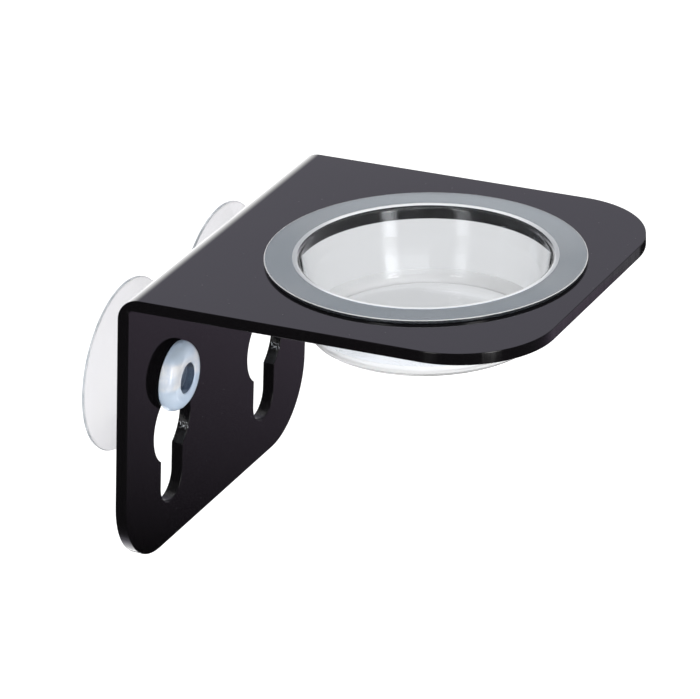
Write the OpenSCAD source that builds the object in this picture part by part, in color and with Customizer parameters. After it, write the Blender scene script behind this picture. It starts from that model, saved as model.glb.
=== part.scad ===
// Gecko feeding ledge: a bent sheet bracket that hangs on two suction cups and carries a lift-out cup.
// Origin on the glass, midway between the suction cups. +X right, +Y into the glass, +Z up.

/* [Sheet] */
// Width of the bent sheet
sheet_w = 100; // [96:1:140]
// Thickness of the sheet
sheet_t = 3; // [2:0.5:5]
// Inside radius of the bend
bend_r = 3; // [1.5:0.5:6]
// Angle between the plate's front and the shelf's underside
bend_angle = 93; // [88:1:100]

/* [Back plate] */
// Height of the plate, from the outer corner of the bend
plate_h = 75; // [70:1:100]
// Radius of the plate's lower corners
plate_corner_r = 18.5; // [4:0.5:22]

/* [Shelf] */
// Depth of the shelf, from the outer corner of the bend
shelf_d = 102.7; // [99:0.1:130]
// Radius of the shelf's front corners
shelf_corner_r = 24; // [4:1:30]
// Distance of the cup's centre from the outer corner of the bend
cup_setback = 57.9; // [50:0.1:62]

/* [Keyholes] */
// Distance between the two keyholes
key_pitch = 51.5; // [46:0.5:60]
// Depth of the round lobes below the outer corner of the bend
lobe_drop = 43.5; // [38:0.5:48]
// Length of the upper arm, from the lobe's centre to the arm's end centre
arm_up = 13.3; // [10:0.1:16]
// Length of the lower arm, from the lobe's centre to the arm's end centre
arm_down = 15.2; // [10:0.1:18]

/* [Suction cups] */
// Diameter of the skirt at the glass
skirt_d = 43.8; // [36:0.2:45]
// Thickness of the skirt at its edge
skirt_t = 0.5; // [0.4:0.1:1.2]
// Width of the flat sealing lip
lip_w = 1.2; // [0.8:0.1:2]
// Depth of the hollow behind the skirt
hollow_h = 4.2; // [3:0.1:4.6]
// Height of the web between the hollow and the front of the skirt's root
skirt_web = 2; // [1:0.1:2.4]
// Radius where the skirt meets the shoulder
skirt_root_r = 2.5; // [1:0.1:4]
// Distance of the plate's back from the glass
standoff = 10.6; // [9:0.1:14]
// Diameter of the shoulder that the plate's back faces
shoulder_d = 15.4; // [13:0.1:20]
// Diameter of the neck in the keyhole
neck_d = 10.7; // [9.5:0.1:11.5]
// Diameter of the mushroom head
head_d = 17.7; // [15:0.1:19]
// Height of the mushroom head
head_h = 3.9; // [3:0.1:5]
// Height of the head's upright rim, below its dome
head_rim_h = 0.6; // [0.6:0.1:1.6]
// Radius of the moulded edges
edge_r = 0.4; // [0.1:0.1:0.5]
// Diameter of the blind hole in the head
bore_d = 7.8; // [4:0.1:8]
// Depth of the blind hole in the head
bore_depth = 6.4; // [3:0.1:7]

/* [Feeding cup] */
// Diameter of the flange
flange_d = 78.4; // [74:0.2:82]
// Thickness of the flange
flange_t = 0.9; // [0.6:0.1:1.5]
// Outside diameter of the cup just under the flange
cup_d = 62.6; // [56:0.2:66]
// Outside diameter of the cup's base
base_d = 57.8; // [50:0.2:58]
// Depth of the cup below the flange
cup_depth = 18.8; // [14:0.1:24]
// Thickness of the cup's wall and floor
wall_t = 0.9; // [0.6:0.1:1.4]
// Radius of the rounded mouth
mouth_r = 1.4; // [1:0.1:3]
// Radius inside and outside the foot of the wall
foot_r = 2.2; // [1.5:0.1:3]

/* [Fits] */
// Gap around the neck in the keyhole's arms
neck_gap = 0.3; // [0.2:0.05:0.6]
// Gap around the head as it passes the lobe
lobe_gap = 0.9; // [0.3:0.1:1.5]
// Gap between the plate and the shoulder, and between the plate and the head
plate_play = 0.3; // [0.1:0.05:0.6]
// Gap above the neck where the plate hangs on it
hang_gap = 0.1; // [0.05:0.05:0.2]
// Gap around the cup in the shelf's hole
hole_gap = 0.5; // [0.3:0.1:1]
// Gap under the cup's flange
flange_gap = 0.05; // [0.02:0.01:0.1]

/* [Hidden] */
$fn = 96;
arc_steps = 8;

black = [0.05, 0.05, 0.06];
clear_cup = [0.80, 0.83, 0.86, 0.5];
clear_vinyl = [0.86, 0.88, 0.93, 0.6];

bend_outer_r = bend_r + sheet_t;
bend_turn = 180 - bend_angle;
shelf_tip = bend_angle - 90;
// Length of each leg that the bend takes up, from the outer corner to where the leg is straight
bend_take = bend_outer_r * tan(bend_turn / 2);

slot_r = neck_d / 2 + neck_gap;
lobe_r = head_d / 2 + lobe_gap;
// Depth of the suction cups' axes below the outer corner, with the necks under the tops of the keyholes
axis_drop = lobe_drop - arm_up - slot_r + neck_d / 2 + hang_gap;
bend_y = -standoff - bend_outer_r;
bend_z = axis_drop - bend_take;

shoulder_h = standoff - plate_play;
head_back_h = standoff + sheet_t + plate_play;
head_front_h = head_back_h + head_h;
bore_floor_h = head_front_h - bore_depth;

hole_r = cup_d / 2 + hole_gap;

function unit(v) = v / norm(v);

// One corner of an outline as points: a tangent arc of the corner's own radius, or the bare corner
function corner(before, at, after, r) =
    let (u = unit(before - at))
    let (v = unit(after - at))
    let (half = acos(u * v) / 2)
    let (centre = at + unit(u + v) * r / sin(half))
    let (first = at + u * r / tan(half) - centre)
    let (last = at + v * r / tan(half) - centre)
    let (start = atan2(first[1], first[0]))
    let (sweep = (atan2(last[1], last[0]) - start + 540) % 360 - 180)
    r == 0 ? [at] : [for (k = [0:arc_steps])
        centre + r * [cos(start + sweep * k / arc_steps), sin(start + sweep * k / arc_steps)]];

function flat(p) = [p[0], p[1]];

// An outline from corners written as [radius from the axis, height, corner radius]
function rounded(corners) =
    let (n = len(corners))
    [for (i = [0:n - 1])
        each corner(flat(corners[(i + n - 1) % n]), flat(corners[i]), flat(corners[(i + 1) % n]), corners[i][2])];

// A leg of the sheet, laid flat: square where it leaves the bend, round at its free corners
module leg_outline(length, corner_r) {
    translate([-sheet_w / 2, 0]) square([sheet_w, length - corner_r]);
    translate([corner_r - sheet_w / 2, 0]) square([sheet_w - 2 * corner_r, length]);
    for (side = [-1, 1])
        translate([side * (sheet_w / 2 - corner_r), length - corner_r]) circle(corner_r);
}

// A round lobe that the head passes, with an arm above and below for the neck
module keyhole() {
    circle(lobe_r);
    translate([-slot_r, -arm_up]) square([2 * slot_r, arm_up + arm_down]);
    translate([0, -arm_up]) circle(slot_r);
    translate([0, arm_down]) circle(slot_r);
}

module plate_leg() {
    translate([0, bend_r, 0]) rotate([-90, 0, 0]) linear_extrude(sheet_t) difference() {
        leg_outline(plate_h - bend_take, plate_corner_r);
        for (side = [-1, 1])
            translate([side * key_pitch / 2, lobe_drop - bend_take]) keyhole();
    }
}

module shelf_leg() {
    translate([0, 0, bend_r]) rotate([0, 0, 180]) linear_extrude(sheet_t) difference() {
        leg_outline(shelf_d - bend_take, shelf_corner_r);
        translate([0, cup_setback - bend_take]) circle(hole_r);
    }
}

module bend() {
    rotate([90, 0, 90]) translate([0, 0, -sheet_w / 2])
        rotate_extrude(angle = bend_turn) translate([bend_r, 0]) square([sheet_t, sheet_w]);
}

// Places its children in the shelf's own frame, at the middle of the bend
module at_shelf() {
    translate([0, bend_y, bend_z]) rotate([-shelf_tip, 0, 0]) children();
}

module bracket() color(black) {
    translate([0, bend_y, bend_z]) {
        plate_leg();
        bend();
    }
    at_shelf() shelf_leg();
}

module feeding_cup() color(clear_cup) {
    slope = (cup_d - base_d) / 2 / cup_depth;
    mouth_in_r = cup_d / 2 + slope * flange_t - wall_t;
    floor_in_r = base_d / 2 + slope * wall_t - wall_t;
    wall_section = rounded([
        [flange_d / 2, 0, 0],
        [flange_d / 2, flange_t, 0],
        [mouth_in_r, flange_t, mouth_r],
        [floor_in_r, wall_t - cup_depth, foot_r],
        [0, wall_t - cup_depth, 0],
        [0, -cup_depth, 0],
        [base_d / 2, -cup_depth, foot_r],
        [cup_d / 2, 0, 0],
    ]);
    at_shelf() translate([0, bend_take - cup_setback, bend_outer_r + flange_gap])
        rotate_extrude() polygon(wall_section);
}

// Skirt, shoulder, neck and head in one moulding, as heights above the glass
module suction_cup() color(clear_vinyl) {
    section = rounded([
        [skirt_d / 2 - lip_w, 0, 0],
        [skirt_d / 2, 0, 0],
        [skirt_d / 2, skirt_t, skirt_t / 2],
        [shoulder_d / 2, hollow_h + skirt_web, skirt_root_r],
        [shoulder_d / 2, shoulder_h, edge_r],
        [neck_d / 2, shoulder_h, 0],
        [neck_d / 2, head_back_h, 0],
        [head_d / 2, head_back_h, edge_r],
        [head_d / 2, head_front_h, head_h - head_rim_h],
        [bore_d / 2, head_front_h, 0],
        [bore_d / 2, bore_floor_h, 0],
        [0, bore_floor_h, 0],
        [0, hollow_h, 0],
        [neck_d / 2, hollow_h, skirt_root_r],
    ]);
    rotate([90, 0, 0]) rotate_extrude() polygon(section);
}

module suction_cup_left() translate([-key_pitch / 2, 0, 0]) suction_cup();

module suction_cup_right() translate([key_pitch / 2, 0, 0]) suction_cup();

bracket();
feeding_cup();
suction_cup_left();
suction_cup_right();
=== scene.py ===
# %% [markdown]
# A gecko feeding ledge: one strip of black acrylic, bent into a plate and a shelf, hangs on two clear
# suction cups and carries a loose clear cup. The CAD model fixes where everything is and how it moves. This
# script loads it first, keeps its box, and then builds the surfaces that the eye sees around it.

# %% Load the frame
import math

import bmesh
import bpy
from mathutils import Matrix, Vector


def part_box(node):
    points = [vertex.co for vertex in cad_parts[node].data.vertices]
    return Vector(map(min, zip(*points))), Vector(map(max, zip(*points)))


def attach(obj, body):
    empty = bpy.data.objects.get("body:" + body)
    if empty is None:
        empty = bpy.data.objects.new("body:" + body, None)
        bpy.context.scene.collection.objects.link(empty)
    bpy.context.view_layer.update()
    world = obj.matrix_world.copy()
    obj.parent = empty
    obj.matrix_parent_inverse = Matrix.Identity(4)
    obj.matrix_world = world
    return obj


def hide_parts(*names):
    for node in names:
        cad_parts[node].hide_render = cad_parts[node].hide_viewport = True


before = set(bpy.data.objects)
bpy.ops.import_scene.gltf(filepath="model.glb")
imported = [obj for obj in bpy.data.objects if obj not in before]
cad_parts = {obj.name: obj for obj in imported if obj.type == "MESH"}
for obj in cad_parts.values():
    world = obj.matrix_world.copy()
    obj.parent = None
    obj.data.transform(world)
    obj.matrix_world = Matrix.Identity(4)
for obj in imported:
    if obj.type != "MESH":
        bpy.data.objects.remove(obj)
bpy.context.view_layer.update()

scene = bpy.context.scene
scene.view_settings.view_transform = "Standard"
MM = 0.001

# %% [markdown]
# The photograph was taken with a long lens from the left, a little above. A long lens keeps parallel edges
# nearly parallel, so its distance and focal length matter as much as its direction. The camera is placed
# backwards from the point it aims at, and rolled by the small angle at which the photograph leans.

# %% Camera
CAMERA_AZIMUTH = math.radians(-65.535)
CAMERA_ELEVATION = math.radians(25.556)
CAMERA_ROLL = math.radians(1.819)
CAMERA_DISTANCE = 1.290
CAMERA_AIM = Vector((-19.69, -58.02, 14.48)) * MM
LENS_MM = 275.57
SENSOR_MM = 36.0


def direction_to(azimuth, elevation):
    """The direction from the object towards a viewer; azimuth 0 is the front, and negative is the left."""
    return Vector((
        math.sin(azimuth) * math.cos(elevation),
        -math.cos(azimuth) * math.cos(elevation),
        math.sin(elevation),
    ))


camera = bpy.data.objects.new("camera", bpy.data.cameras.new("camera"))
scene.collection.objects.link(camera)
scene.camera = camera
camera.data.sensor_fit = "HORIZONTAL"
camera.data.sensor_width = SENSOR_MM
camera.data.lens = LENS_MM
towards_camera = direction_to(CAMERA_AZIMUTH, CAMERA_ELEVATION)
camera_turn = towards_camera.to_track_quat("Z", "Y").to_matrix().to_4x4()
camera.matrix_world = (
    Matrix.Translation(CAMERA_AIM + CAMERA_DISTANCE * towards_camera)
    @ camera_turn
    @ Matrix.Rotation(CAMERA_ROLL, 4, "Z")
)
print("camera at", [round(x, 4) for x in camera.matrix_world.translation], "lens", LENS_MM, "mm")

# %% [markdown]
# The room and all the finishes are node trees. Blender can make each node with a few lines of its own, but
# then the tree's idea is lost among the lines. A handful of helpers lets a step of the tree be one line,
# read like a sum: most of them take sockets or plain values, and give back the socket with the result.

# %% Node helpers


def add(tree, kind, inputs=None, **settings):
    """A node with its settings made, and each input set to a value or linked to another node's socket."""
    made = tree.nodes.new(kind)
    for name, value in settings.items():
        setattr(made, name, value)
    for key, value in (inputs or {}).items():
        if isinstance(value, bpy.types.NodeSocket):
            tree.links.new(value, made.inputs[key])
        else:
            made.inputs[key].default_value = value
    return made


def math_node(tree, operation, first, second=0.0):
    return add(tree, "ShaderNodeMath", {0: first, 1: second}, operation=operation).outputs[0]


def product(tree, first, *others):
    """All the factors multiplied."""
    for factor in others:
        first = math_node(tree, "MULTIPLY", first, factor)
    return first


def between(tree, share, at_none, at_full):
    """The level that a share of 0 to 1 stands for, where 0 is at_none and 1 is at_full."""
    inputs = {0: share, 1: at_full - at_none, 2: at_none}
    return add(tree, "ShaderNodeMath", inputs, operation="MULTIPLY_ADD").outputs[0]


def vector_node(tree, operation, first, second=(0, 0, 0)):
    return add(tree, "ShaderNodeVectorMath", {0: first, 1: second}, operation=operation)


def mix_color(tree, factor, first, second):
    made = add(tree, "ShaderNodeMix", {"Factor": factor, 6: first, 7: second}, data_type="RGBA")
    return made.outputs[2]


def remap(tree, value, low, high, to_low=0.0, to_high=1.0, way="LINEAR"):
    """Value from low to high becomes to_low to to_high, held at both ends."""
    return add(tree, "ShaderNodeMapRange", {
        "Value": value, "From Min": low, "From Max": high, "To Min": to_low, "To Max": to_high,
    }, interpolation_type=way).outputs[0]


def soft_step(tree, value, low, high, to_low=0.0, to_high=1.0):
    """The same with a smooth start and stop."""
    return remap(tree, value, low, high, to_low, to_high, "SMOOTHSTEP")


print("node helpers ready")

# %% [markdown]
# Black gloss plastic has almost no colour of its own: it shows the room. So the room comes before the
# material. A white sweep stands behind the object and turns grey overhead, and the side with the camera is
# dark, as in a studio with the lights off behind the photographer. The room is worked out from the
# direction in which a ray leaves: its heading, seen from above, and its height, which is 1 straight up.

# %% Room: sweep and overhead
ROOM_WHITE = (1.0, 1.0, 1.0, 1.0)
ROOM_OVERHEAD = (0.55, 0.53, 0.63, 1.0)
ROOM_SIDE = (0.93, 0.89, 1.08, 1.0)
SWEEP_SHARPNESS = 4.2
OVERHEAD_HEIGHTS = (0.20, 0.38)
world = bpy.data.worlds.new("studio_room")
scene.world = world
world.use_nodes = True
room = world.node_tree
room.nodes.clear()
looking = add(room, "ShaderNodeTexCoord").outputs["Generated"]
level_look = vector_node(room, "MULTIPLY", looking, (1, 1, 0)).outputs[0]
heading = vector_node(room, "NORMALIZE", level_look).outputs[0]
heading_y = add(room, "ShaderNodeSeparateXYZ", {0: heading}).outputs["Y"]
height = add(room, "ShaderNodeSeparateXYZ", {0: looking}).outputs["Z"]
behind_object = Vector((-towards_camera.x, -towards_camera.y, 0)).normalized()
facing = vector_node(room, "DOT_PRODUCT", heading, behind_object).outputs["Value"]
sweep = math_node(room, "POWER", between(room, facing, 0.5, 1.0), SWEEP_SHARPNESS)
level_colour = mix_color(room, sweep, ROOM_SIDE, ROOM_WHITE)
sweep_colour = mix_color(room, soft_step(room, height, *OVERHEAD_HEIGHTS), level_colour, ROOM_OVERHEAD)
print("room: white behind the object, grey overhead, dark on the camera's side")

# %% [markdown]
# Clear plastic passes light from all round, and in the photograph it looks lit from every side. So for
# light that comes through the plastic the dark side is lit up too, unless the light was mirrored on its
# way. Light that has passed four walls or more has lost the most, and is made up for with a gain.

# %% Room: seen through clear plastic
GLASS_SIDE_LEVEL = 0.95
GLASS_MIRRORED_LEVEL = 0.08
DEEP_GLASS_GAIN = 1.9
BELOW_ONE = 0.5
ABOVE_THREE = 3.5
rays = add(room, "ShaderNodeLightPath")
through = rays.outputs["Is Transmission Ray"]
walls_passed = rays.outputs["Transmission Depth"]
unmirrored = math_node(room, "LESS_THAN", rays.outputs["Glossy Depth"], BELOW_ONE)
glass_side = product(room, through, between(room, unmirrored, GLASS_MIRRORED_LEVEL, GLASS_SIDE_LEVEL))
sweep_level = math_node(room, "MAXIMUM", sweep, glass_side)
deep_gain = between(room, math_node(room, "GREATER_THAN", walls_passed, ABOVE_THREE), 1.0, DEEP_GLASS_GAIN)
print("room: lit on all sides through clear plastic")

# %% [markdown]
# Two stretches of the room only show as mirror images. Low behind the plate the room is brighter, like a
# window, and the rounded bend mirrors that as its white rim. Low at the far end of the shelf it is dark,
# and the shelf's round corner there mirrors black. Each stretch is a soft box in heading and height.

# %% Room: window and dark corner
WINDOW_GAIN = 2.35
WINDOW_HEADINGS = (0.43, 0.51)
WINDOW_HEIGHTS = (0.44, 0.0)
DARK_LEVEL = 0.02
DARK_STARTS = (-0.40, -0.33)
DARK_STOPS = (0.45, 0.30)
DARK_HEIGHTS = (-0.15, -0.32)
outside_plastic = math_node(room, "LESS_THAN", walls_passed, BELOW_ONE)
mirror_image = product(room, outside_plastic, rays.outputs["Is Glossy Ray"])
window = product(
    room,
    soft_step(room, heading_y, *WINDOW_HEADINGS),
    soft_step(room, height, *WINDOW_HEIGHTS),
    mirror_image,
)
dark_corner = product(
    room,
    soft_step(room, heading_y, *DARK_STARTS),
    soft_step(room, heading_y, *DARK_STOPS),
    soft_step(room, height, *DARK_HEIGHTS),
    mirror_image,
)
mirror_gain = product(
    room, between(room, window, 1.0, WINDOW_GAIN), between(room, dark_corner, 1.0, DARK_LEVEL)
)
print("room: bright behind the plate and dark at the far corner, for mirror images")

# %% [markdown]
# The parts of the room are now put together. Sharp rays, mirrored or passed through, get the studio. Soft
# light on dull surfaces gets one even level, and the camera itself always sees white.

# %% Room: light
ROOM_DIFFUSE = 0.70
sharp_colour = mix_color(room, through, sweep_colour, ROOM_WHITE)
sharp_level = product(room, sweep_level, deep_gain, mirror_gain)
sharp_room = add(room, "ShaderNodeBackground", {"Color": sharp_colour, "Strength": sharp_level})
soft_room = add(room, "ShaderNodeBackground", {"Color": ROOM_WHITE, "Strength": ROOM_DIFFUSE})
seen_room = add(room, "ShaderNodeBackground", {"Color": ROOM_WHITE, "Strength": 1.0})
soft_or_sharp = add(room, "ShaderNodeMixShader", {
    0: math_node(room, "MAXIMUM", rays.outputs["Is Glossy Ray"], through),
    1: soft_room.outputs[0],
    2: sharp_room.outputs[0],
})
room_light = add(room, "ShaderNodeMixShader", {
    0: rays.outputs["Is Camera Ray"],
    1: soft_or_sharp.outputs[0],
    2: seen_room.outputs[0],
})
add(room, "ShaderNodeOutputWorld", {"Surface": room_light.outputs[0]})
print("room light: soft level", ROOM_DIFFUSE)

# %% [markdown]
# The ledge hangs on a pane, so no table touches it. A plain pale floor lies well below, where its soft
# shadow falls outside the photograph. It adds a little light of its own for the camera, which takes it to
# white, and leaves the mirror reflections to the room.

# %% Floor
FLOOR_Z = -0.75
FLOOR_RADIUS = 6.0
FLOOR_SIDES = 64
FLOOR_COLOUR = (0.88, 0.88, 0.88, 1)
FLOOR_GLOW = 0.55


def bare_material(name):
    """A material with an empty node tree."""
    material = bpy.data.materials.new(name)
    material.use_nodes = True
    material.node_tree.nodes.clear()
    return material, material.node_tree


floor_mesh = bpy.data.meshes.new("floor")
floor = bpy.data.objects.new("floor", floor_mesh)
scene.collection.objects.link(floor)
floor_bm = bmesh.new()
bmesh.ops.create_circle(floor_bm, cap_ends=True, radius=FLOOR_RADIUS, segments=FLOOR_SIDES)
bmesh.ops.translate(floor_bm, verts=floor_bm.verts, vec=(0, 0, FLOOR_Z))
floor_bm.to_mesh(floor_mesh)
floor_bm.free()
floor_material, floor_tree = bare_material("pale_floor")
floor_rays = add(floor_tree, "ShaderNodeLightPath")
floor_glow = product(floor_tree, floor_rays.outputs["Is Camera Ray"], FLOOR_GLOW)
floor_sum = add(floor_tree, "ShaderNodeAddShader", {
    0: add(floor_tree, "ShaderNodeBsdfDiffuse", {"Color": FLOOR_COLOUR}).outputs[0],
    1: add(floor_tree, "ShaderNodeEmission", {"Strength": floor_glow}).outputs[0],
})
add(floor_tree, "ShaderNodeOutputMaterial", {"Surface": floor_sum.outputs[0]})
floor_mesh.materials.append(floor_material)
floor.visible_glossy = False
floor.visible_transmission = False
print("floor", -FLOOR_Z, "m below the suction cups")

# %% [markdown]
# Soft lamps light the part. A wide one overhead and one in front give the milky plastics their body. Two
# tall strips stand left and right of the camera: in the round wall of the cup each becomes one upright
# streak. They fade to their sides, so the streaks are soft, and towards the floor, so the cut edges catch
# only a hint of them.

# %% Lamps
LAMP_AIM = Vector((0, -60, 20)) * MM
STRIP_SIDES = (0.08, 0.5)
STRIP_END = (0.16, 0.27)
STRIP_END_LEVEL = 0.03


def area_lamp(name, azimuth, elevation, distance, width, tall, watts):
    lamp = bpy.data.objects.new(name, bpy.data.lights.new(name, "AREA"))
    scene.collection.objects.link(lamp)
    lamp.data.shape = "RECTANGLE"
    lamp.data.size = width
    lamp.data.size_y = tall
    lamp.data.energy = watts
    back = direction_to(math.radians(azimuth), math.radians(elevation))
    turn = back.to_track_quat("Z", "Y").to_matrix().to_4x4()
    lamp.matrix_world = Matrix.Translation(LAMP_AIM + distance * back) @ turn
    print(f"lamp {name}: {watts} W, {width} x {tall} m, {distance} m away")
    return lamp


def feather(lamp):
    """Fades a strip from its middle line to its two long sides, and nearly to nothing at its lower end."""
    lamp.data.use_nodes = True
    tree = lamp.data.node_tree
    over_lamp = add(tree, "ShaderNodeNewGeometry").outputs["Parametric"]
    across, along, _ = add(tree, "ShaderNodeSeparateXYZ", {0: over_lamp}).outputs
    off_centre = math_node(tree, "ABSOLUTE", math_node(tree, "SUBTRACT", across, 0.5))
    side_fade = soft_step(tree, off_centre, *STRIP_SIDES, 1.0, 0.0)
    end_fade = soft_step(tree, along, *STRIP_END, STRIP_END_LEVEL, 1.0)
    tree.links.new(product(tree, side_fade, end_fade), tree.nodes["Emission"].inputs["Strength"])


softbox = area_lamp(
    "top_softbox", azimuth=-20, elevation=78, distance=1.2, width=0.9, tall=0.9, watts=5.5
)
fill = area_lamp(
    "front_fill", azimuth=-48, elevation=18, distance=1.1, width=0.8, tall=0.8, watts=9.5
)
for lamp in [softbox, fill]:
    lamp.visible_glossy = False
for name, azimuth, watts in [("left_strip", -98, 7.0), ("right_strip", -32, 13.0)]:
    strip = area_lamp(name, azimuth, elevation=5, distance=1.0, width=0.36, tall=1.37, watts=watts)
    strip.visible_diffuse = False
    feather(strip)

# %% [markdown]
# The upright plate mirrors what lies low on the right. A black flag with a feathered top edge stands there,
# so the plate is dark grey at the top and sinks to black at the bottom. Only mirror reflections see the
# flag.

# %% Feathered flag
FLAG_DISTANCE = 0.30
FLAG_HALF_WIDTH = 0.30
FLAG_BOTTOM = -0.25
FLAG_BLACK_AT = -0.058
FLAG_CLEAR_AT = 0.075
FLAG_AIM = Vector((0, -13.6, -8.0)) * MM
FLAG_TINT = (1.0, 0.84, 1.0, 1.0)


def black_to_clear(tree, clear_share, tint=(1, 1, 1, 1)):
    """Fills a material's tree: black where the share is 0, and clear with a tint where it is 1."""
    mixed = add(tree, "ShaderNodeMixShader", {
        0: clear_share,
        1: add(tree, "ShaderNodeBsdfDiffuse", {"Color": (0, 0, 0, 1)}).outputs[0],
        2: add(tree, "ShaderNodeBsdfTransparent", {"Color": tint}).outputs[0],
    })
    add(tree, "ShaderNodeOutputMaterial", {"Surface": mixed.outputs[0]})


def show_in_mirrors_only(thing):
    for sight in ["camera", "diffuse", "transmission", "shadow"]:
        setattr(thing, "visible_" + sight, False)


mirrored_view = Vector((-towards_camera.x, towards_camera.y, -towards_camera.z))
flag_mesh = bpy.data.meshes.new("feathered_flag")
flag_mesh.from_pydata(
    [
        (-FLAG_HALF_WIDTH, FLAG_BOTTOM, 0),
        (FLAG_HALF_WIDTH, FLAG_BOTTOM, 0),
        (FLAG_HALF_WIDTH, FLAG_CLEAR_AT, 0),
        (-FLAG_HALF_WIDTH, FLAG_CLEAR_AT, 0),
    ],
    [],
    [(0, 1, 2, 3)],
)
flag = bpy.data.objects.new("feathered_flag", flag_mesh)
scene.collection.objects.link(flag)
flag_turn = (-mirrored_view).to_track_quat("Z", "Y").to_matrix().to_4x4()
flag.matrix_world = Matrix.Translation(FLAG_AIM + FLAG_DISTANCE * mirrored_view) @ flag_turn
flag_material, flag_tree = bare_material("feathered_black")
flag_place = add(flag_tree, "ShaderNodeTexCoord").outputs["Object"]
flag_height = add(flag_tree, "ShaderNodeSeparateXYZ", {0: flag_place}).outputs["Y"]
black_to_clear(flag_tree, remap(flag_tree, flag_height, FLAG_BLACK_AT, FLAG_CLEAR_AT), FLAG_TINT)
flag_mesh.materials.append(flag_material)
show_in_mirrors_only(flag)
print("flag", FLAG_DISTANCE, "m from the plate, in its mirror direction")

# %% [markdown]
# Cast acrylic leaves the factory as clean as glass. What gives a used sheet away is small: a film of wiping
# marks that changes the gloss, hairline scratches, and dust. These marks come from one node group. The
# sheet takes all of them, and the cup and the suction cups take the wiping marks alone, each at its own
# scale.

# %% Node group for wiping marks, scratches and dust


def new_group(name, inputs, outputs):
    """An empty shader node group with float inputs given as (name, default) and named float outputs."""
    group = bpy.data.node_groups.new(name, "ShaderNodeTree")
    for label, default in inputs:
        socket = group.interface.new_socket(label, in_out="INPUT", socket_type="NodeSocketFloat")
        socket.default_value = default
    for label in outputs:
        group.interface.new_socket(label, in_out="OUTPUT", socket_type="NodeSocketFloat")
    return group, group.nodes.new("NodeGroupInput"), group.nodes.new("NodeGroupOutput")


def noise(tree, where, scale, detail=2.0, distortion=0.0):
    made = add(tree, "ShaderNodeTexNoise", {
        "Vector": where, "Scale": scale, "Detail": detail, "Distortion": distortion,
    })
    return made.outputs[0]


SMUDGE_RANGE = (0.38, 0.66)
SCRATCH_STRETCH = (1.0, 0.06, 1.0)
SCRATCH_WIDTH = 0.02
SCRATCH_PATCH_SCALE = 55.0
SCRATCH_PATCH_RANGE = (0.55, 0.70)
DUST_DOT_RANGE = (0.10, 0.22)
marks_group, marks_in, marks_out = new_group(
    "surface_marks",
    [("Smudge Scale", 40.0), ("Scratch Scale", 120.0), ("Dust Scale", 900.0), ("Dust Share", 0.1)],
    ["Smudge", "Scratch", "Dust"],
)
where = add(marks_group, "ShaderNodeTexCoord").outputs["Object"]
smudge_noise = noise(marks_group, where, marks_in.outputs["Smudge Scale"], detail=4.0, distortion=0.6)
smudge = remap(marks_group, smudge_noise, *SMUDGE_RANGE)
stretched = vector_node(marks_group, "MULTIPLY", where, SCRATCH_STRETCH).outputs[0]
scratch_cells = add(marks_group, "ShaderNodeTexVoronoi", {
    "Vector": stretched, "Scale": marks_in.outputs["Scratch Scale"],
}, feature="DISTANCE_TO_EDGE").outputs[0]
scratch = remap(marks_group, scratch_cells, 0.0, SCRATCH_WIDTH, 1.0, 0.0)
scratch_patch = remap(marks_group, noise(marks_group, where, SCRATCH_PATCH_SCALE), *SCRATCH_PATCH_RANGE)
scratch_seen = product(marks_group, scratch, scratch_patch)
dust_cells = add(marks_group, "ShaderNodeTexVoronoi", {
    "Vector": where, "Scale": marks_in.outputs["Dust Scale"],
})
dust_dot = remap(marks_group, dust_cells.outputs["Distance"], *DUST_DOT_RANGE, 1.0, 0.0)
dust_pick = add(marks_group, "ShaderNodeSeparateColor", {0: dust_cells.outputs["Color"]}).outputs[0]
dust_kept = math_node(marks_group, "LESS_THAN", dust_pick, marks_in.outputs["Dust Share"])
dust = product(marks_group, dust_dot, dust_kept)
marks_group.links.new(smudge, marks_out.inputs["Smudge"])
marks_group.links.new(scratch_seen, marks_out.inputs["Scratch"])
marks_group.links.new(dust, marks_out.inputs["Dust"])
print("node group surface_marks: smudge, scratch, dust")

# %% [markdown]
# The broad faces of the sheet are as cast: deep black under a clear gloss. The colour is far darker than it
# seems, because most of what the camera gets from it is the room's reflection. The marks only stir the
# gloss.

# %% Acrylic face finish


def new_material(name):
    material = bpy.data.materials.new(name)
    material.use_nodes = True
    tree = material.node_tree
    return material, tree, tree.nodes["Principled BSDF"]


ACRYLIC_BLACK = (0.0040, 0.0036, 0.0042, 1)
ACRYLIC_DUST = (0.022, 0.021, 0.022, 1)
ACRYLIC_IOR = 1.49
FACE_ROUGH = (0.05, 0.085)
DUST_ROUGH = 0.3
acrylic_face, tree, shader = new_material("acrylic_face")
seen_marks = add(tree, "ShaderNodeGroup", {
    "Smudge Scale": 34.0, "Scratch Scale": 90.0, "Dust Scale": 1100.0, "Dust Share": 0.025,
}, node_tree=marks_group).outputs
tree.links.new(mix_color(tree, seen_marks["Dust"], ACRYLIC_BLACK, ACRYLIC_DUST), shader.inputs["Base Color"])
smudge_rough = between(tree, seen_marks["Smudge"], *FACE_ROUGH)
face_rough = math_node(tree, "ADD", smudge_rough, product(tree, seen_marks["Dust"], DUST_ROUGH))
tree.links.new(face_rough, shader.inputs["Roughness"])
face_bump = add(tree, "ShaderNodeBump", {
    "Strength": 0.10, "Distance": 0.02 * MM, "Height": seen_marks["Scratch"],
}, invert=True)
tree.links.new(face_bump.outputs[0], shader.inputs["Normal"])
shader.inputs["IOR"].default_value = ACRYLIC_IOR
print("finish acrylic_face")

# %% [markdown]
# A laser melts its way through acrylic and leaves a glossy edge with fine upright lines, a tenth of a
# millimetre or so apart, where the beam pulsed. The edge's own unrolled coordinates run along the cut, so
# stretched noise along that run gives lines that follow every curve of the outline. Where each cut starts,
# the beam dwells for a moment and leaves a small patch of chipped, frosty edge.

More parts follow.
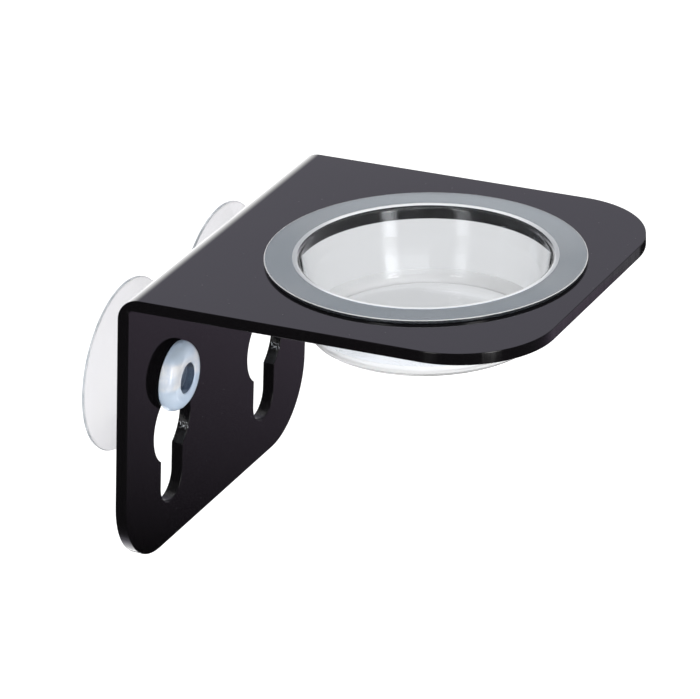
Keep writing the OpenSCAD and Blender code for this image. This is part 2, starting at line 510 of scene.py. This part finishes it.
# %% Laser-cut edge finish
CUT_UV = "cut_run"
FINE_LINES_PER_MM = 7.0
FINE_WANDER = 25.0
BROAD_LINES_PER_MM = 1.1
BROAD_WANDER = 60.0
BROAD_WEIGHT = 1.6
BROAD_RANGE = (0.35, 0.65)
EDGE_ROUGH = (0.06, 0.16)
CHIPS_PER_MM = (1.3, 2.6)
CHIP_RANGE = (0.53, 0.63)
PIERCE_RUN = 1.9 * MM
PIERCE_FULL = 0.55 * PIERCE_RUN
PIERCE_ROUGH = 0.25
PIERCE_COLOUR = (0.50, 0.53, 0.56, 1)
laser_edge, tree, shader = new_material("laser_edge")
shader.inputs["IOR"].default_value = ACRYLIC_IOR
run = add(tree, "ShaderNodeUVMap", uv_map=CUT_UV).outputs[0]
fine_run = vector_node(tree, "MULTIPLY", run, (FINE_LINES_PER_MM / MM, FINE_WANDER, 0)).outputs[0]
broad_run = vector_node(tree, "MULTIPLY", run, (BROAD_LINES_PER_MM / MM, BROAD_WANDER, 0)).outputs[0]
fine_lines = noise(tree, fine_run, 1.0, detail=1.0)
broad_lines = noise(tree, broad_run, 1.0, detail=2.0)
line_height = math_node(tree, "ADD", fine_lines, product(tree, broad_lines, BROAD_WEIGHT))
edge_bump = add(tree, "ShaderNodeBump", {"Strength": 0.35, "Distance": 0.03 * MM, "Height": line_height})
tree.links.new(edge_bump.outputs[0], shader.inputs["Normal"])
chip_run = vector_node(tree, "MULTIPLY", run, (CHIPS_PER_MM[0] / MM, CHIPS_PER_MM[1] / MM, 0)).outputs[0]
chips = remap(tree, noise(tree, chip_run, 1.0, detail=2.0), *CHIP_RANGE)
run_length = add(tree, "ShaderNodeSeparateXYZ", {0: run}).outputs["X"]
past_start = math_node(tree, "GREATER_THAN", run_length, 0.0)
near_start = remap(tree, run_length, PIERCE_FULL, PIERCE_RUN, 1.0, 0.0)
pierce = product(tree, past_start, near_start, chips)
tree.links.new(mix_color(tree, pierce, ACRYLIC_BLACK, PIERCE_COLOUR), shader.inputs["Base Color"])
line_rough = remap(tree, broad_lines, *BROAD_RANGE, *EDGE_ROUGH)
edge_rough = math_node(tree, "ADD", line_rough, product(tree, pierce, PIERCE_ROUGH))
tree.links.new(edge_rough, shader.inputs["Roughness"])
print("finish laser_edge")

# %% [markdown]
# Clear moulded plastic is never quite water-white: flow in the mould leaves the surface faintly wavy, and
# handling leaves a haze. The waviness is one more shared group, because the cup and the soft vinyl both
# have it. The haze is the wiping marks of the other group.

# %% Node group for moulded waviness
wave_group, wave_in, wave_out = new_group("moulded_waves", [("Scale", 60.0)], ["Height"])
wave_where = add(wave_group, "ShaderNodeTexCoord").outputs["Object"]
wave_height = noise(wave_group, wave_where, wave_in.outputs["Scale"], detail=1.0, distortion=0.4)
wave_group.links.new(wave_height, wave_out.inputs["Height"])


def waves(tree, scale, strength, distance):
    made = add(tree, "ShaderNodeGroup", {"Scale": scale}, node_tree=wave_group)
    bump = add(tree, "ShaderNodeBump", {
        "Strength": strength, "Distance": distance, "Height": made.outputs["Height"],
    })
    return bump.outputs[0]


def wiping_marks(tree, scale):
    made = add(tree, "ShaderNodeGroup", {"Smudge Scale": scale}, node_tree=marks_group)
    return made.outputs["Smudge"]


print("node group moulded_waves: height")

# %% [markdown]
# The cup is thin clear plastic. Real glass shading on a shell of true thickness gives the dark band where
# the hole's black edge shows through, and the streaks; the bright line of the mouth is a painted highlight,
# as the rounded lip is painted near white. The outside bends light a little more than the inside, so that
# the plate's edge, seen through both walls, stays behind the lip. Where the cup is gripped and stacked it
# has more haze, on the flat flange and the flat of the lip. The foot is worn nearly white, and that white is
# partly painted light, as is the pale line along the flange's outer top edge. The flange's thin outer edge
# passes the light along inside the plastic, so it looks black: its near-black colour is painted shade.

# %% Clear cup finishes
CUP_COLOUR = (0.73, 0.745, 0.765, 1)
CUP_CLEAR_SHARE = 0.985
INSIDE_IOR = 1.34
OUTSIDE_IOR = 1.39
HAZY_IOR = 1.50
CLEAR_ROUGH = (0.0, 0.03)
HAZY_ROUGH = (0.05, 0.14)


def clear_plastic(name, ior):
    material, tree, shader = new_material(name)
    shader.inputs["Base Color"].default_value = CUP_COLOUR
    shader.inputs["IOR"].default_value = ior
    shader.inputs["Transmission Weight"].default_value = CUP_CLEAR_SHARE
    haze = wiping_marks(tree, scale=70.0)
    tree.links.new(between(tree, haze, *CLEAR_ROUGH), shader.inputs["Roughness"])
    tree.links.new(waves(tree, scale=110.0, strength=0.15, distance=0.05 * MM), shader.inputs["Normal"])
    return material


def hazy_and_painted_plastic(name, clear_share, dull_colour, bright_colour):
    """Cup plastic hazed by handling, also used to paint highlights and shade: part of the light is scattered
    back.
    """
    material, tree, shader = new_material(name)
    shader.inputs["IOR"].default_value = HAZY_IOR
    shader.inputs["Transmission Weight"].default_value = clear_share
    haze = wiping_marks(tree, scale=28.0)
    tree.links.new(mix_color(tree, haze, dull_colour, bright_colour), shader.inputs["Base Color"])
    tree.links.new(between(tree, haze, *HAZY_ROUGH), shader.inputs["Roughness"])
    tree.links.new(waves(tree, scale=160.0, strength=0.2, distance=0.04 * MM), shader.inputs["Normal"])
    return material


cup_clear = clear_plastic("cup_clear", INSIDE_IOR)
cup_outside = clear_plastic("cup_outside", OUTSIDE_IOR)
# The flange finish also takes a painted light tone below. The lip finish paints the mouth's highlight near
# white, the foot's worn white is partly painted light, and the flange's outer edge is painted black as
# shade.
cup_hazy_and_painted_light = hazy_and_painted_plastic("cup_hazy_and_painted_light", 0.74, (0.54, 0.62, 0.67, 1), (0.68, 0.75, 0.79, 1))
cup_lip_painted_highlight = hazy_and_painted_plastic("cup_lip_painted_highlight", 0.25, (0.88, 0.90, 0.92, 1), (0.94, 0.95, 0.96, 1))
cup_worn_and_painted_light = hazy_and_painted_plastic("cup_worn_and_painted_light", 0.50, (0.95, 0.955, 0.96, 1), (0.98, 0.98, 0.98, 1))
cup_edge_painted_shade = hazy_and_painted_plastic("cup_edge_painted_shade", 0.20, (0.015, 0.017, 0.02, 1), (0.03, 0.033, 0.038, 1))
print("finishes cup_clear, cup_outside, cup_hazy_and_painted_light, cup_lip_painted_highlight, cup_worn_and_painted_light and cup_edge_painted_shade")

# %% [markdown]
# The lip's painted highlight is dimmed at two opposite places, and a painted light makes the flange paler
# towards one side. Both are the same effect: a second tone that comes in with the distance from the middle,
# measured along one direction. It is laid over the finish that is already there.

# %% Tones of the lip and the flange
CUP_MIDDLE = (0, -69.15 * MM, 0)
# A painted dimming of the lip's painted highlight at two opposite places.
LIP_PAINTED_DIM = (0.50, 0.52, 0.54, 1)
LIP_PAINTED_DIM_WAY = (0.41, -0.91, 0)
LIP_PAINTED_DIM_REACH = (20.0 * MM, 31.0 * MM)
FLANGE_PAINTED_LIGHT = (0.86, 0.95, 1.0, 1)
# A painted light that makes the flange paler towards one side.
FLANGE_PAINTED_LIGHT_WAY = (0.99, 0.1, 0)
FLANGE_PAINTED_LIGHT_REACH = (5.0 * MM, 38.0 * MM)


def tone_towards(material, tone, middle, way, reach, both_ways):
    """Lays a tone over a finish: none up to the first reach along the way, and all of it from the second."""
    tree = material.node_tree
    colour = tree.nodes["Principled BSDF"].inputs["Base Color"]
    plain = colour.links[0].from_socket
    place = add(tree, "ShaderNodeTexCoord").outputs["Object"]
    from_middle = vector_node(tree, "SUBTRACT", place, middle).outputs[0]
    along = vector_node(tree, "DOT_PRODUCT", from_middle, way).outputs["Value"]
    if both_ways:
        along = math_node(tree, "ABSOLUTE", along)
    tree.links.new(mix_color(tree, soft_step(tree, along, *reach), plain, tone), colour)


tone_towards(cup_lip_painted_highlight, LIP_PAINTED_DIM, CUP_MIDDLE, LIP_PAINTED_DIM_WAY, LIP_PAINTED_DIM_REACH, both_ways=True)
tone_towards(cup_hazy_and_painted_light, FLANGE_PAINTED_LIGHT, CUP_MIDDLE, FLANGE_PAINTED_LIGHT_WAY, FLANGE_PAINTED_LIGHT_REACH, both_ways=False)
print("tones on cup_lip_painted_highlight and cup_hazy_and_painted_light")

# %% [markdown]
# Suction cups are moulded from soft clear vinyl. It is slightly milky with a blue cast, and its skin is a
# little dull. Part of the light goes through and part is scattered back, which the base colour stands for.
# How much depends on the thickness, so one function makes a finish for each place: the thin skirt and its
# dull rim, the thick shoulder, the dome and the milky back of the head, and the core of its blind hole,
# which is clear from within and painted in two tones: dark from outside, as painted shade in the hole, and
# white from within, as a painted glow. A painted highlight makes the dome whitest in a band across its
# middle, and it is bluer above and below.

# %% Vinyl finishes
SKIN_ROUGH = (0.03, 0.09)
# The dome's whiter middle band is a painted highlight; this blue lies above and below it.
DOME_BLUE = (0.69, 0.81, 0.96, 1)
DOME_HIGHLIGHT_MIDDLE = (0, 0, 2.6 * MM)
DOME_HIGHLIGHT_REACH = (2.4 * MM, 3.8 * MM)
UPRIGHT = (0, 0, 1)
THIN_IOR = 1.40
THICK_IOR = 1.50


def vinyl_finish(name, clear_share, ior, patch_scale, dull_colour, bright_colour, painted_lit_colour=None):
    """Soft vinyl in patches of two colours; through the plastic itself a wall may show a painted lit colour.
    """
    material, tree, shader = new_material(name)
    shader.inputs["IOR"].default_value = ior
    shader.inputs["Transmission Weight"].default_value = clear_share
    patches = wiping_marks(tree, patch_scale)
    colour = mix_color(tree, patches, dull_colour, bright_colour)
    if painted_lit_colour:
        from_inside = add(tree, "ShaderNodeNewGeometry").outputs["Backfacing"]
        colour = mix_color(tree, from_inside, colour, painted_lit_colour)
    tree.links.new(colour, shader.inputs["Base Color"])
    tree.links.new(between(tree, patches, *SKIN_ROUGH), shader.inputs["Roughness"])
    tree.links.new(waves(tree, scale=220.0, strength=0.25, distance=0.08 * MM), shader.inputs["Normal"])
    return material


vinyl_thin = vinyl_finish(
    "vinyl_thin", 0.97, THIN_IOR, 90.0, (0.975, 0.97, 1.0, 1), (0.985, 0.98, 1.0, 1)
)
vinyl_thick = vinyl_finish(
    "vinyl_thick", 0.55, THICK_IOR, 90.0, (0.83, 0.90, 0.97, 1), (0.90, 0.94, 0.98, 1)
)
vinyl_dome = vinyl_finish(
    "vinyl_dome", 0.36, THICK_IOR, 330.0, (0.78, 0.85, 0.95, 1), (1.0, 1.0, 1.0, 1)
)
vinyl_milky = vinyl_finish(
    "vinyl_milky", 0.0, THICK_IOR, 330.0, (0.78, 0.87, 0.97, 1), (1.0, 1.0, 1.0, 1)
)
vinyl_rim = vinyl_finish(
    "vinyl_rim", 0.0, THICK_IOR, 260.0, (0.42, 0.45, 0.48, 1), (0.60, 0.62, 0.65, 1)
)
# The core is painted dark from outside as shade in the hole, and painted white from within as a glow.
vinyl_core_painted_shade = vinyl_finish(
    "vinyl_core_painted_shade", 0.9, THICK_IOR, 260.0, (0.06, 0.07, 0.10, 1), (0.15, 0.18, 0.23, 1), (1.0, 1.0, 1.0, 1)
)
tone_towards(vinyl_dome, DOME_BLUE, DOME_HIGHLIGHT_MIDDLE, UPRIGHT, DOME_HIGHLIGHT_REACH, both_ways=True)
print("finishes vinyl_thin, vinyl_thick, vinyl_dome, vinyl_milky, vinyl_rim and vinyl_core_painted_shade")

# %% [markdown]
# The bracket is made here as it is made in the shop: a flat blank is cut from sheet, then bent over a hot
# wire. All the holes are therefore drawn flat, and one function bends the finished mesh. Modelling the two
# legs apart and joining them would leave a seam at the bend that a real strip doesn't have.

# %% Sizes of the blank
SHEET_T = 3.0 * MM
BEND_R = 3.0 * MM
BEND_INNER_R = 0.7 * MM
BEND_TURN = math.radians(87.0)
SHELF_CORNER_R = 24.0 * MM
PLATE_CORNER_R = 18.5 * MM
HOLE_R = 31.8 * MM
LOBE_R = 9.75 * MM
SLOT_R = 5.65 * MM
ARM_UP = 13.3 * MM
ARM_DOWN = 15.2 * MM
LOBE_DROP = 43.5 * MM
PLATE_H = 75.0 * MM
SHELF_D = 102.7 * MM
CUP_SETBACK = 57.9 * MM
bracket_low, bracket_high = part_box("bracket")
sheet_w = bracket_high.x - bracket_low.x
bend_outer_r = BEND_R + SHEET_T
bend_take = bend_outer_r * math.tan(BEND_TURN / 2)
bend_run = BEND_TURN * (BEND_R + SHEET_T / 2)
plate_run = bend_run + PLATE_H - bend_take
shelf_run = SHELF_D - bend_take
left_low, left_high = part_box("suction_cup_left")
right_low, right_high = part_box("suction_cup_right")
key_x = (right_low.x + right_high.x - left_low.x - left_high.x) / 4
plate_back_y = bracket_high.y
bend_y = plate_back_y - bend_outer_r
bend_z = bracket_low.z + PLATE_H - bend_take
print("blank in mm:", round(sheet_w / MM, 2), "x", round((plate_run + shelf_run) / MM, 2))
print("keyholes in mm: left and right by", round(key_x / MM, 2))

# %% [markdown]
# Each outline is a function of how far it is grown or shrunk. The same function then draws the cut itself
# and the slightly smaller rim of the face, which leaves a tiny rounded edge all round, as polished acrylic
# has.

# %% Outlines of the blank
CORNER_STEPS = 28
HOLE_STEPS = 180
ARM_STEPS = 44
LOBE_STEPS = 32


def arc(centre, radius, start, stop, steps):
    """Points of an arc from start to stop degrees, both ends included."""
    angles = [math.radians(start + (stop - start) * k / steps) for k in range(steps + 1)]
    return [(centre[0] + radius * math.cos(a), centre[1] + radius * math.sin(a)) for a in angles]


def blank_outline(inset):
    """The strip's outline, from the plate's lower left corner up the left edge and round."""
    half = sheet_w / 2 - inset
    shelf_r = SHELF_CORNER_R - inset
    plate_r = PLATE_CORNER_R - inset
    shelf_mid = -shelf_run + SHELF_CORNER_R
    plate_mid = plate_run - PLATE_CORNER_R
    return (
        arc((plate_r - half, plate_mid), plate_r, 90, 180, CORNER_STEPS)
        + arc((shelf_r - half, shelf_mid), shelf_r, 180, 270, CORNER_STEPS)
        + arc((half - shelf_r, shelf_mid), shelf_r, -90, 0, CORNER_STEPS)
        + arc((half - plate_r, plate_mid), plate_r, 0, 90, CORNER_STEPS)
    )


def cup_hole(grow):
    return arc((0, bend_take - CUP_SETBACK), HOLE_R + grow, 0, 360, HOLE_STEPS)[:-1]


def keyhole(grow, x):
    """A lobe with an arm above and below, from the lobe's upper right; the blank's run counts downwards."""
    lobe = (x, bend_run + LOBE_DROP - bend_take)
    slot_r = SLOT_R + grow
    lobe_r = LOBE_R + grow
    open_angle = math.degrees(math.asin(slot_r / lobe_r))
    return (
        arc(lobe, lobe_r, open_angle - 90, 90 - open_angle, LOBE_STEPS)
        + arc((x, lobe[1] + ARM_DOWN), slot_r, 0, 180, ARM_STEPS)
        + arc(lobe, lobe_r, 90 + open_angle, 270 - open_angle, LOBE_STEPS)
        + arc((x, lobe[1] - ARM_UP), slot_r, 180, 360, ARM_STEPS)
    )


OUTLINE_PIERCE = 10.0 * MM
HOLE_PIERCE = 110.0 * MM
KEY_PIERCE = 12.9 * MM
outlines = [
    (blank_outline, OUTLINE_PIERCE),
    (cup_hole, HOLE_PIERCE),
    (lambda grow: keyhole(grow, -key_x), KEY_PIERCE),
    (lambda grow: keyhole(grow, key_x), KEY_PIERCE),
]
print("outline points:", [len(outline(0.0)) for outline, _ in outlines])

# %% [markdown]
# The walls are rings of points through the thickness, with three short rings for each rounded edge. The two
# faces are filled between the rims. Each wall corner stores how far along the cut it is, counted from where
# the beam went in, for the laser lines.

# %% Flat blank as a mesh
EDGE_ROUND = 0.18 * MM
EDGE_STEPS = 3
rings = []
for step in range(EDGE_STEPS + 1):
    turn = math.pi / 2 * step / EDGE_STEPS
    rings.append((EDGE_ROUND * (1 - math.sin(turn)), EDGE_ROUND * (1 - math.cos(turn))))
rings += [(grow, SHEET_T - depth) for grow, depth in reversed(rings)]

FACE_SLOT = 0
EDGE_SLOT = 1
blank = bmesh.new()
cut_uv = blank.loops.layers.uv.new(CUT_UV)
rims = {0: [], len(rings) - 1: []}
for outline, pierce_at in outlines:
    nominal = outline(0.0)
    count = len(nominal)
    along = [-pierce_at]
    for j in range(count):
        along.append(along[-1] + math.dist(nominal[j], nominal[(j + 1) % count]))
    ring_verts = [[blank.verts.new((x, s, depth)) for x, s in outline(grow)] for grow, depth in rings]
    for lower in range(len(rings) - 1):
        for j in range(count):
            k = (j + 1) % count
            corners = [
                (ring_verts[lower][j], along[j]),
                (ring_verts[lower][k], along[j + 1]),
                (ring_verts[lower + 1][k], along[j + 1]),
                (ring_verts[lower + 1][j], along[j]),
            ]
            wall = blank.faces.new([vert for vert, _ in corners])
            wall.material_index = EDGE_SLOT
            for loop, (vert, reach) in zip(wall.loops, corners):
                loop[cut_uv].uv = (reach, vert.co.z)
    for ring in rims:
        verts = ring_verts[ring]
        rims[ring] += [blank.edges.get((verts[j], verts[(j + 1) % count])) for j in range(count)]
for ring, edges in rims.items():
    filled = bmesh.ops.triangle_fill(blank, use_beauty=True, edges=edges, normal=(0, 0, 1))
    for part in filled["geom"]:
        if isinstance(part, bmesh.types.BMFace):
            part.material_index = FACE_SLOT
            for loop in part.loops:
                loop[cut_uv].uv = loop.vert.co.xy
print("flat blank:", len(blank.verts), "points,", len(blank.faces), "faces")

# %% [markdown]
# Before the blank can bend it needs lines to bend along. Cutting planes slice the mesh across the bend
# zone, and then every point is moved: on the shelf it stays in the shelf's plane, in the zone it goes round
# the bend's centre, and beyond it lies on the plate. On the inside of a real bend the soft plastic is
# squeezed together, and its corner comes out nearly sharp. So the zone's points are also drawn towards that
# corner, the most on the inner face and not at all on the outer one.

# %% Bend the blank
BEND_SLICES = 30
SLICE_SLACK = 1e-8
ZONE_SLACK = 1e-7
for step in range(BEND_SLICES + 1):
    bmesh.ops.bisect_plane(
        blank,
        geom=blank.verts[:] + blank.edges[:] + blank.faces[:],
        dist=SLICE_SLACK,
        plane_co=(0, bend_run * step / BEND_SLICES, 0),
        plane_no=(0, 1, 0),
    )
half_turn = BEND_TURN / 2
towards_corner = Vector((0, math.cos(half_turn), math.sin(half_turn))) / math.cos(half_turn)


def bent(point):
    """Where a point of the flat blank lies when bent: x across, y along the run, z from the inner face."""
    angle = BEND_TURN * (1 - min(max(point.y / bend_run, 0.0), 1.0))
    out = Vector((0, math.cos(angle), math.sin(angle)))
    onward = Vector((0, math.sin(angle), -math.cos(angle)))
    past = min(point.y, 0.0) + max(point.y - bend_run, 0.0)
    place = Vector((point.x, bend_y, bend_z)) + out * (BEND_R + point.z) + onward * past
    if abs(past) < ZONE_SLACK:
        inner_share = 1 - point.z / SHEET_T
        place += (towards_corner - out) * (BEND_R - BEND_INNER_R) * inner_share
    return place


for vert in blank.verts:
    vert.co = bent(vert.co)
bmesh.ops.recalc_face_normals(blank, faces=blank.faces)
print("bent by", round(math.degrees(BEND_TURN), 1), "degrees in", BEND_SLICES, "slices")

# %% [markdown]
# A finished mesh becomes an object in the same way for every piece. Its faces are shaded smooth, with crisp
# lines only where they meet at a marked angle. Then it is parented to the moving body it rides on, and the
# CAD node it stands in for is hidden.

# %% Finish a piece
SHARP_FROM = math.radians(40)


def finish_piece(name, bm, materials, body, node):
    """The piece's object: smooth with crisp edges, riding on its body in place of its CAD node."""
    mesh = bpy.data.meshes.new(name)
    bm.to_mesh(mesh)
    bm.free()
    for material in materials:
        mesh.materials.append(material)
    mesh.polygons.foreach_set("use_smooth", [True] * len(mesh.polygons))
    mesh.set_sharp_from_angle(angle=SHARP_FROM)
    piece = bpy.data.objects.new(name, mesh)
    scene.collection.objects.link(piece)
    weighted = piece.modifiers.new("face_weighted_normals", "WEIGHTED_NORMAL")
    weighted.keep_sharp = True
    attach(piece, body)
    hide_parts(node)
    low = [min(v.co[i] for v in mesh.vertices) / MM for i in range(3)]
    high = [max(v.co[i] for v in mesh.vertices) / MM for i in range(3)]
    print(name, "box in mm:", [round(x, 2) for x in low], [round(x, 2) for x in high])


finish_piece("bent_bracket", blank, [acrylic_face, laser_edge], "bracket", "bracket")

# %% [markdown]
# Both the cup and the suction cups are round, so each is one section turned about its axis. A section is a
# list of corners. Each gives its radius from the axis, its height, how far it is rounded, and three
# finishes: of the rounding's first part, of its second part and of the run that follows. So the shape and
# its finishes are read off the same list.

# %% Rounded sections and turning
ON_AXIS = 1e-9


def rounded(corners, steps, first_steps):
    """Points of an open section, and the finish of each stretch from one point to the next.

    A rounding takes that many steps, and first_steps of them have the finish of its first part.
    """
    points = []
    finishes = []
    for index, (r, h, fillet, first_part, second_part, run_after) in enumerate(corners):
        here = Vector((r, h))
        if fillet == 0:
            points.append(here)
        else:
            back = (Vector(corners[index - 1][:2]) - here).normalized()
            ahead = (Vector(corners[index + 1][:2]) - here).normalized()
            half = back.angle(ahead) / 2
            centre = here + (back + ahead).normalized() * fillet / math.sin(half)
            first = here + back * fillet / math.tan(half) - centre
            last = here + ahead * fillet / math.tan(half) - centre
            sweep = first.angle_signed(last)
            points += [centre + Matrix.Rotation(-sweep * k / steps, 2) @ first for k in range(steps + 1)]
            finishes += [first_part] * first_steps + [second_part] * (steps - first_steps)
        finishes.append(run_after)
    return points, finishes[:-1]


def turned(section, sides, place):
    """A closed mesh from a section that starts and ends on the axis, set in place by a matrix."""
    points, finishes = section
    bm = bmesh.new()
    rings = []
    for r, h in points:
        if r < ON_AXIS:
            rings.append([bm.verts.new(place @ Vector((0, 0, h)))] * sides)
        else:
            angles = [math.tau * k / sides for k in range(sides)]
            ring = [Vector((r * math.cos(a), r * math.sin(a), h)) for a in angles]
            rings.append([bm.verts.new(place @ point) for point in ring])
    for lower, upper, finish in zip(rings, rings[1:], finishes):
        for j in range(sides):
            k = (j + 1) % sides
            corners = [lower[j], lower[k], upper[k], upper[j]]
            face = bm.faces.new(list(dict.fromkeys(corners)))
            face.material_index = finish
    bmesh.ops.recalc_face_normals(bm, faces=bm.faces)
    return bm


print("section and turning helpers ready")

# %% [markdown]
# The feeding cup hangs in the shelf's hole by its flange. The shelf tips up a little, so the cup's axis
# leans with it. Its section runs from the middle of the inside floor, up the wall, over the rounded mouth,
# out along the flange and back down the outside.

# %% Feeding cup
FLANGE_R = 39.2 * MM
FLANGE_T = 0.9 * MM
FLANGE_GAP = 0.05 * MM
CUP_R = 31.3 * MM
BASE_R = 28.9 * MM
CUP_DEPTH = 18.8 * MM
WALL_T = 0.9 * MM
MOUTH_ROUND = 1.4 * MM
LIP_W = 0.4 * MM
FOOT_ROUND = 2.2 * MM
WORN_AND_PAINTED_H = 3.4 * MM
FLANGE_EDGE_ROUND = 0.25 * MM
UNDER_ROUND = 0.35 * MM
CUP_SIDES = 224
SECTION_STEPS = 10
CLEAR_STEPS = 7
CLEAR, OUTSIDE, HAZY_AND_PAINTED_LIGHT, LIP_PAINTED_HIGHLIGHT, WORN_AND_PAINTED_LIGHT, EDGE = range(6)
wall_slope = (CUP_R - BASE_R) / CUP_DEPTH
mouth_in_r = CUP_R + wall_slope * FLANGE_T - WALL_T
floor_top = WALL_T - CUP_DEPTH
cup_section = rounded([
    (0, floor_top, 0, CLEAR, CLEAR, CLEAR),
    (BASE_R + wall_slope * WALL_T - WALL_T, floor_top, FOOT_ROUND, CLEAR, CLEAR, CLEAR),
    (mouth_in_r, FLANGE_T, MOUTH_ROUND, CLEAR, LIP_PAINTED_HIGHLIGHT, LIP_PAINTED_HIGHLIGHT),
    (mouth_in_r + MOUTH_ROUND + LIP_W, FLANGE_T, 0, HAZY_AND_PAINTED_LIGHT, HAZY_AND_PAINTED_LIGHT, HAZY_AND_PAINTED_LIGHT),
    (FLANGE_R, FLANGE_T, FLANGE_EDGE_ROUND, WORN_AND_PAINTED_LIGHT, EDGE, EDGE),
    (FLANGE_R, 0, FLANGE_EDGE_ROUND, EDGE, EDGE, CLEAR),
    (CUP_R, 0, UNDER_ROUND, CLEAR, OUTSIDE, OUTSIDE),
    (BASE_R + wall_slope * WORN_AND_PAINTED_H, WORN_AND_PAINTED_H - CUP_DEPTH, 0, WORN_AND_PAINTED_LIGHT, WORN_AND_PAINTED_LIGHT, WORN_AND_PAINTED_LIGHT),
    (BASE_R, -CUP_DEPTH, FOOT_ROUND, WORN_AND_PAINTED_LIGHT, WORN_AND_PAINTED_LIGHT, CLEAR),
    (0, -CUP_DEPTH, 0, CLEAR, CLEAR, CLEAR),
], SECTION_STEPS, CLEAR_STEPS)
shelf_tip = math.pi / 2 - BEND_TURN
cup_seat = bent(Vector((0, bend_take - CUP_SETBACK, SHEET_T + FLANGE_GAP)))
cup_place = Matrix.Translation(cup_seat) @ Matrix.Rotation(-shelf_tip, 4, "X")
finish_piece(
    "clear_cup",
    turned(cup_section, CUP_SIDES, cup_place),
    [cup_clear, cup_outside, cup_hazy_and_painted_light, cup_lip_painted_highlight, cup_worn_and_painted_light, cup_edge_painted_shade],
    "feeding_cup",
    "feeding_cup",
)

# %% [markdown]
# A suction cup is one soft moulding: a thin skirt, a shoulder that the plate's back faces, a neck that fits
# the keyhole's arms, and a mushroom head with a blind hole. Turning one section gives all of it at once.

# %% Suction cups
SKIRT_R = 21.9 * MM
SKIRT_T = 0.5 * MM
SEAL_W = 1.2 * MM
HOLLOW_H = 4.2 * MM
SKIRT_WEB = 2.0 * MM
ROOT_ROUND = 2.5 * MM
SHOULDER_R = 7.7 * MM
SHOULDER_H = 10.3 * MM
NECK_R = 5.35 * MM
HEAD_BACK_H = 13.9 * MM
HEAD_RIM_H = 0.6 * MM
HEAD_H = 3.9 * MM
HEAD_R = 8.85 * MM
BORE_R = 3.9 * MM
BORE_DEPTH = 6.4 * MM
MOULD_ROUND = 0.4 * MM
SUCTION_SIDES = 144
THIN, THICK, DOME, MILKY, RIM, CORE = range(6)
head_front = HEAD_BACK_H + HEAD_H
bore_floor = head_front - BORE_DEPTH
suction_section = rounded([
    (0, bore_floor, 0, CORE, CORE, CORE),
    (BORE_R, bore_floor, MOULD_ROUND, CORE, CORE, CORE),
    (BORE_R, head_front, MOULD_ROUND, DOME, DOME, DOME),
    (HEAD_R, head_front, HEAD_H - HEAD_RIM_H, DOME, DOME, DOME),
    (HEAD_R, HEAD_BACK_H, MOULD_ROUND, DOME, MILKY, MILKY),
    (NECK_R, HEAD_BACK_H, MOULD_ROUND, MILKY, MILKY, THIN),
    (NECK_R, SHOULDER_H, MOULD_ROUND, THIN, THIN, THICK),
    (SHOULDER_R, SHOULDER_H, MOULD_ROUND, THICK, THICK, THICK),
    (SHOULDER_R, HOLLOW_H + SKIRT_WEB, ROOT_ROUND, THICK, THICK, THIN),
    (SKIRT_R, SKIRT_T, SKIRT_T / 2, RIM, RIM, RIM),
    (SKIRT_R, 0, 0, THIN, THIN, THIN),
    (SKIRT_R - SEAL_W, 0, 0, THIN, THIN, THIN),
    (NECK_R, HOLLOW_H, ROOT_ROUND, THIN, THIN, THIN),
    (0, HOLLOW_H, 0, THIN, THIN, THIN),
], SECTION_STEPS, SECTION_STEPS // 2)
axis_to_front = Matrix.Rotation(math.pi / 2, 4, "X")
suction_places = {
    "left": Matrix.Translation((-key_x, 0, 0)) @ axis_to_front,
    "right": Matrix.Translation((key_x, 0, 0)) @ axis_to_front,
}
for side, place in suction_places.items():
    finish_piece(
        f"vinyl_cup_{side}",
        turned(suction_section, SUCTION_SIDES, place),
        [vinyl_thin, vinyl_thick, vinyl_dome, vinyl_milky, vinyl_rim, vinyl_core_painted_shade],
        "suction_cups",
        f"suction_cup_{side}",
    )

# %% [markdown]
# In the gloss of the plate each head would be mirrored as a pale twin. The twin is kept black, for the soft
# vinyl lets the dark room through: two black collars paint that dark reflection here. Only mirror
# reflections
# meet them, and only from outside: from within, where the heads' own highlights come from, they are clear.

# %% Black collars in the mirror
COLLAR_GAP = 0.1 * MM
COLLAR_SIDES = 64
# The collars' black paints a dark reflection of each head in the plate.
collar_material, collar_tree = bare_material("collar_painted_dark_reflection")
from_within = add(collar_tree, "ShaderNodeNewGeometry").outputs["Backfacing"]
black_to_clear(collar_tree, from_within)
collar_points = [
    Vector((r + COLLAR_GAP, h)) for r, h in suction_section[0] if h > HEAD_BACK_H and r > HEAD_R - HEAD_H
]
for side, place in suction_places.items():
    collar_bm = turned((collar_points, [0] * len(collar_points)), COLLAR_SIDES, place)
    collar_mesh = bpy.data.meshes.new(f"collar_{side}")
    collar_bm.to_mesh(collar_mesh)
    collar_bm.free()
    collar_mesh.materials.append(collar_material)
    collar = bpy.data.objects.new(f"collar_{side}", collar_mesh)
    scene.collection.objects.link(collar)
    show_in_mirrors_only(collar)
print("collars round both heads, for mirror reflections only")
